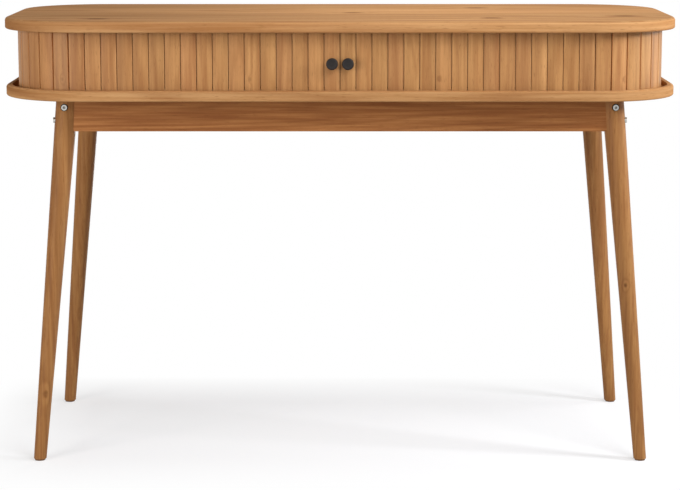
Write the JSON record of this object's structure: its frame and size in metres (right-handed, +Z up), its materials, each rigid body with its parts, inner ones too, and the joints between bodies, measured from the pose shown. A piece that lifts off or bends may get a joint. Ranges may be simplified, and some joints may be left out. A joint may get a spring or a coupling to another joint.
{
  "type": "tambour desk",
  "caption": "Wooden writing desk on splayed tapered legs, with a shallow case whose slatted tambour doors slide apart and run round its rounded front corners.",
  "frame": {"origin": "on the floor, under the middle of the desk", "axes": "+X to the user's right when facing the doors, +Y from the doors to the back, +Z up"},
  "size_m": [1.2, 0.5, 0.79],
  "materials": {
    "board_wood": "satin oil",
    "slat_wood": "satin oil",
    "leg_wood": "satin oil",
    "panel_wood": "satin oil",
    "dowel_wood": "plain",
    "black_knob": "satin",
    "steel": "zinc plated",
    "glide_plastic": "matte",
    "canvas": "cotton"
  },
  "bodies": {
    "desk_frame": {"top_board": "board_wood", "base_board": "board_wood", "left_end_panel": "panel_wood", "right_end_panel": "panel_wood", "left_rear_corner": "panel_wood", "right_rear_corner": "panel_wood", "back_panel": "panel_wood", "dowels": "dowel_wood", "front_left_leg": "leg_wood", "front_right_leg": "leg_wood", "rear_left_leg": "leg_wood", "rear_right_leg": "leg_wood", "front_apron": "panel_wood", "rear_apron": "panel_wood", "left_apron": "panel_wood", "right_apron": "panel_wood", "leg_bolts": "steel", "leg_washers": "steel", "barrel_nuts": "steel", "foot_glides": "glide_plastic", "cleats": "panel_wood", "cleat_screws": "steel"},
    "left_door": {"left_lead_slat": "slat_wood", "left_front_slats": "slat_wood", "left_knob": "black_knob", "left_knob_screw": "steel", "left_canvas": "canvas"},
    "left_slat_10": {"left_slat_10": "slat_wood"},
    "left_slat_11": {"left_slat_11": "slat_wood"},
    "left_slat_12": {"left_slat_12": "slat_wood"},
    "left_slat_13": {"left_slat_13": "slat_wood"},
    "left_slat_14": {"left_slat_14": "slat_wood"},
    "left_slat_15": {"left_slat_15": "slat_wood"},
    "left_slat_16": {"left_slat_16": "slat_wood"},
    "left_slat_17": {"left_slat_17": "slat_wood"},
    "left_slat_18": {"left_slat_18": "slat_wood"},
    "left_slat_19": {"left_slat_19": "slat_wood"},
    "left_slat_20": {"left_slat_20": "slat_wood"},
    "left_slat_21": {"left_slat_21": "slat_wood"},
    "left_slat_22": {"left_slat_22": "slat_wood"},
    "left_slat_23": {"left_slat_23": "slat_wood"},
    "right_door": {"right_lead_slat": "slat_wood", "right_front_slats": "slat_wood", "right_knob": "black_knob", "right_knob_screw": "steel", "right_canvas": "canvas"},
    "right_slat_10": {"right_slat_10": "slat_wood"},
    "right_slat_11": {"right_slat_11": "slat_wood"},
    "right_slat_12": {"right_slat_12": "slat_wood"},
    "right_slat_13": {"right_slat_13": "slat_wood"},
    "right_slat_14": {"right_slat_14": "slat_wood"},
    "right_slat_15": {"right_slat_15": "slat_wood"},
    "right_slat_16": {"right_slat_16": "slat_wood"},
    "right_slat_17": {"right_slat_17": "slat_wood"},
    "right_slat_18": {"right_slat_18": "slat_wood"},
    "right_slat_19": {"right_slat_19": "slat_wood"},
    "right_slat_20": {"right_slat_20": "slat_wood"},
    "right_slat_21": {"right_slat_21": "slat_wood"},
    "right_slat_22": {"right_slat_22": "slat_wood"},
    "right_slat_23": {"right_slat_23": "slat_wood"}
  },
  "joints": [
    {"name": "left_door_slide", "type": "slide", "parent": "desk_frame", "child": "left_door", "axis": [-1, 0, 0], "range_m": [0, 0.19445], "deforming": ["left_canvas"]},
    {"name": "left_slat_10_turn", "type": "hinge", "parent": "desk_frame", "child": "left_slat_10", "pos_m": [-0.34725, 2.91381, 0.72], "axis": [0, 0, -1], "range_deg": [0, 3.56]},
    {"name": "left_slat_11_turn", "type": "hinge", "parent": "desk_frame", "child": "left_slat_11", "pos_m": [-0.36904, 0.45259, 0.72], "axis": [0, 0, -1], "range_deg": [0, 16.45]},
    {"name": "left_slat_12_turn", "type": "hinge", "parent": "desk_frame", "child": "left_slat_12", "pos_m": [-0.38421, 0.14655, 0.72], "axis": [0, 0, -1], "range_deg": [0, 29.82]},
    {"name": "left_slat_13_turn", "type": "hinge", "parent": "desk_frame", "child": "left_slat_13", "pos_m": [-0.3986, 0.02993, 0.72], "axis": [0, 0, -1], "range_deg": [0, 43.2]},
    {"name": "left_slat_14_turn", "type": "hinge", "parent": "desk_frame", "child": "left_slat_14", "pos_m": [-0.41276, -0.03087, 0.72], "axis": [0, 0, -1], "range_deg": [0, 56.57]},
    {"name": "left_slat_15_turn", "type": "hinge", "parent": "desk_frame", "child": "left_slat_15", "pos_m": [-0.42682, -0.06723, 0.72], "axis": [0, 0, -1], "range_deg": [0, 69.95]},
    {"name": "left_slat_16_turn", "type": "hinge", "parent": "desk_frame", "child": "left_slat_16", "pos_m": [-0.44083, -0.09037, 0.72], "axis": [0, 0, -1], "range_deg": [0, 83.32]},
    {"name": "left_slat_17_turn", "type": "hinge", "parent": "desk_frame", "child": "left_slat_17", "pos_m": [-0.44441, -0.09417, 0.72], "axis": [0, 0, -1], "range_deg": [0, 86.46]},
    {"name": "left_slat_18_turn", "type": "hinge", "parent": "desk_frame", "child": "left_slat_18", "pos_m": [-0.42454, -0.08062, 0.72], "axis": [0, 0, -1], "range_deg": [0, 73.57]},
    {"name": "left_slat_19_turn", "type": "hinge", "parent": "desk_frame", "child": "left_slat_19", "pos_m": [-0.39249, -0.06658, 0.72], "axis": [0, 0, -1], "range_deg": [0, 60.2]},
    {"name": "left_slat_20_turn", "type": "hinge", "parent": "desk_frame", "child": "left_slat_20", "pos_m": [-0.3401, -0.05245, 0.72], "axis": [0, 0, -1], "range_deg": [0, 46.82]},
    {"name": "left_slat_21_turn", "type": "hinge", "parent": "desk_frame", "child": "left_slat_21", "pos_m": [-0.24432, -0.03815, 0.72], "axis": [0, 0, -1], "range_deg": [0, 33.45]},
    {"name": "left_slat_22_turn", "type": "hinge", "parent": "desk_frame", "child": "left_slat_22", "pos_m": [-0.02054, -0.02332, 0.72], "axis": [0, 0, -1], "range_deg": [0, 20.07]},
    {"name": "left_slat_23_turn", "type": "hinge", "parent": "desk_frame", "child": "left_slat_23", "pos_m": [1.09284, -0.00479, 0.72], "axis": [0, 0, -1], "range_deg": [0, 6.7]},
    {"name": "right_door_slide", "type": "slide", "parent": "desk_frame", "child": "right_door", "axis": [1, 0, 0], "range_m": [0, 0.19445], "deforming": ["right_canvas"]},
    {"name": "right_slat_10_turn", "type": "hinge", "parent": "desk_frame", "child": "right_slat_10", "pos_m": [0.34725, 2.91381, 0.72], "axis": [0, 0, 1], "range_deg": [0, 3.56]},
    {"name": "right_slat_11_turn", "type": "hinge", "parent": "desk_frame", "child": "right_slat_11", "pos_m": [0.36904, 0.45259, 0.72], "axis": [0, 0, 1], "range_deg": [0, 16.45]},
    {"name": "right_slat_12_turn", "type": "hinge", "parent": "desk_frame", "child": "right_slat_12", "pos_m": [0.38421, 0.14655, 0.72], "axis": [0, 0, 1], "range_deg": [0, 29.82]},
    {"name": "right_slat_13_turn", "type": "hinge", "parent": "desk_frame", "child": "right_slat_13", "pos_m": [0.3986, 0.02993, 0.72], "axis": [0, 0, 1], "range_deg": [0, 43.2]},
    {"name": "right_slat_14_turn", "type": "hinge", "parent": "desk_frame", "child": "right_slat_14", "pos_m": [0.41276, -0.03087, 0.72], "axis": [0, 0, 1], "range_deg": [0, 56.57]},
    {"name": "right_slat_15_turn", "type": "hinge", "parent": "desk_frame", "child": "right_slat_15", "pos_m": [0.42682, -0.06723, 0.72], "axis": [0, 0, 1], "range_deg": [0, 69.95]},
    {"name": "right_slat_16_turn", "type": "hinge", "parent": "desk_frame", "child": "right_slat_16", "pos_m": [0.44083, -0.09037, 0.72], "axis": [0, 0, 1], "range_deg": [0, 83.32]},
    {"name": "right_slat_17_turn", "type": "hinge", "parent": "desk_frame", "child": "right_slat_17", "pos_m": [0.44441, -0.09417, 0.72], "axis": [0, 0, 1], "range_deg": [0, 86.46]},
    {"name": "right_slat_18_turn", "type": "hinge", "parent": "desk_frame", "child": "right_slat_18", "pos_m": [0.42454, -0.08062, 0.72], "axis": [0, 0, 1], "range_deg": [0, 73.57]},
    {"name": "right_slat_19_turn", "type": "hinge", "parent": "desk_frame", "child": "right_slat_19", "pos_m": [0.39249, -0.06658, 0.72], "axis": [0, 0, 1], "range_deg": [0, 60.2]},
    {"name": "right_slat_20_turn", "type": "hinge", "parent": "desk_frame", "child": "right_slat_20", "pos_m": [0.3401, -0.05245, 0.72], "axis": [0, 0, 1], "range_deg": [0, 46.82]},
    {"name": "right_slat_21_turn", "type": "hinge", "parent": "desk_frame", "child": "right_slat_21", "pos_m": [0.24432, -0.03815, 0.72], "axis": [0, 0, 1], "range_deg": [0, 33.45]},
    {"name": "right_slat_22_turn", "type": "hinge", "parent": "desk_frame", "child": "right_slat_22", "pos_m": [0.02054, -0.02332, 0.72], "axis": [0, 0, 1], "range_deg": [0, 20.07]},
    {"name": "right_slat_23_turn", "type": "hinge", "parent": "desk_frame", "child": "right_slat_23", "pos_m": [-1.09284, -0.00479, 0.72], "axis": [0, 0, 1], "range_deg": [0, 6.7]}
  ],
  "couplings": [
    {"joint": "left_slat_10_turn", "follows": "left_door_slide", "rad_per_m": 0.31886},
    {"joint": "left_slat_11_turn", "follows": "left_door_slide", "rad_per_m": 1.4753},
    {"joint": "left_slat_12_turn", "follows": "left_door_slide", "rad_per_m": 2.6758},
    {"joint": "left_slat_13_turn", "follows": "left_door_slide", "rad_per_m": 3.8762},
    {"joint": "left_slat_14_turn", "follows": "left_door_slide", "rad_per_m": 5.0767},
    {"joint": "left_slat_15_turn", "follows": "left_door_slide", "rad_per_m": 6.2772},
    {"joint": "left_slat_16_turn", "follows": "left_door_slide", "rad_per_m": 7.4777},
    {"joint": "left_slat_17_turn", "follows": "left_door_slide", "rad_per_m": 7.7591},
    {"joint": "left_slat_18_turn", "follows": "left_door_slide", "rad_per_m": 6.6026},
    {"joint": "left_slat_19_turn", "follows": "left_door_slide", "rad_per_m": 5.4022},
    {"joint": "left_slat_20_turn", "follows": "left_door_slide", "rad_per_m": 4.2017},
    {"joint": "left_slat_21_turn", "follows": "left_door_slide", "rad_per_m": 3.0012},
    {"joint": "left_slat_22_turn", "follows": "left_door_slide", "rad_per_m": 1.8007},
    {"joint": "left_slat_23_turn", "follows": "left_door_slide", "rad_per_m": 0.60024},
    {"joint": "right_slat_10_turn", "follows": "right_door_slide", "rad_per_m": 0.31886},
    {"joint": "right_slat_11_turn", "follows": "right_door_slide", "rad_per_m": 1.4753},
    {"joint": "right_slat_12_turn", "follows": "right_door_slide", "rad_per_m": 2.6758},
    {"joint": "right_slat_13_turn", "follows": "right_door_slide", "rad_per_m": 3.8762},
    {"joint": "right_slat_14_turn", "follows": "right_door_slide", "rad_per_m": 5.0767},
    {"joint": "right_slat_15_turn", "follows": "right_door_slide", "rad_per_m": 6.2772},
    {"joint": "right_slat_16_turn", "follows": "right_door_slide", "rad_per_m": 7.4777},
    {"joint": "right_slat_17_turn", "follows": "right_door_slide", "rad_per_m": 7.7591},
    {"joint": "right_slat_18_turn", "follows": "right_door_slide", "rad_per_m": 6.6026},
    {"joint": "right_slat_19_turn", "follows": "right_door_slide", "rad_per_m": 5.4022},
    {"joint": "right_slat_20_turn", "follows": "right_door_slide", "rad_per_m": 4.2017},
    {"joint": "right_slat_21_turn", "follows": "right_door_slide", "rad_per_m": 3.0012},
    {"joint": "right_slat_22_turn", "follows": "right_door_slide", "rad_per_m": 1.8007},
    {"joint": "right_slat_23_turn", "follows": "right_door_slide", "rad_per_m": 0.60024}
  ]
}
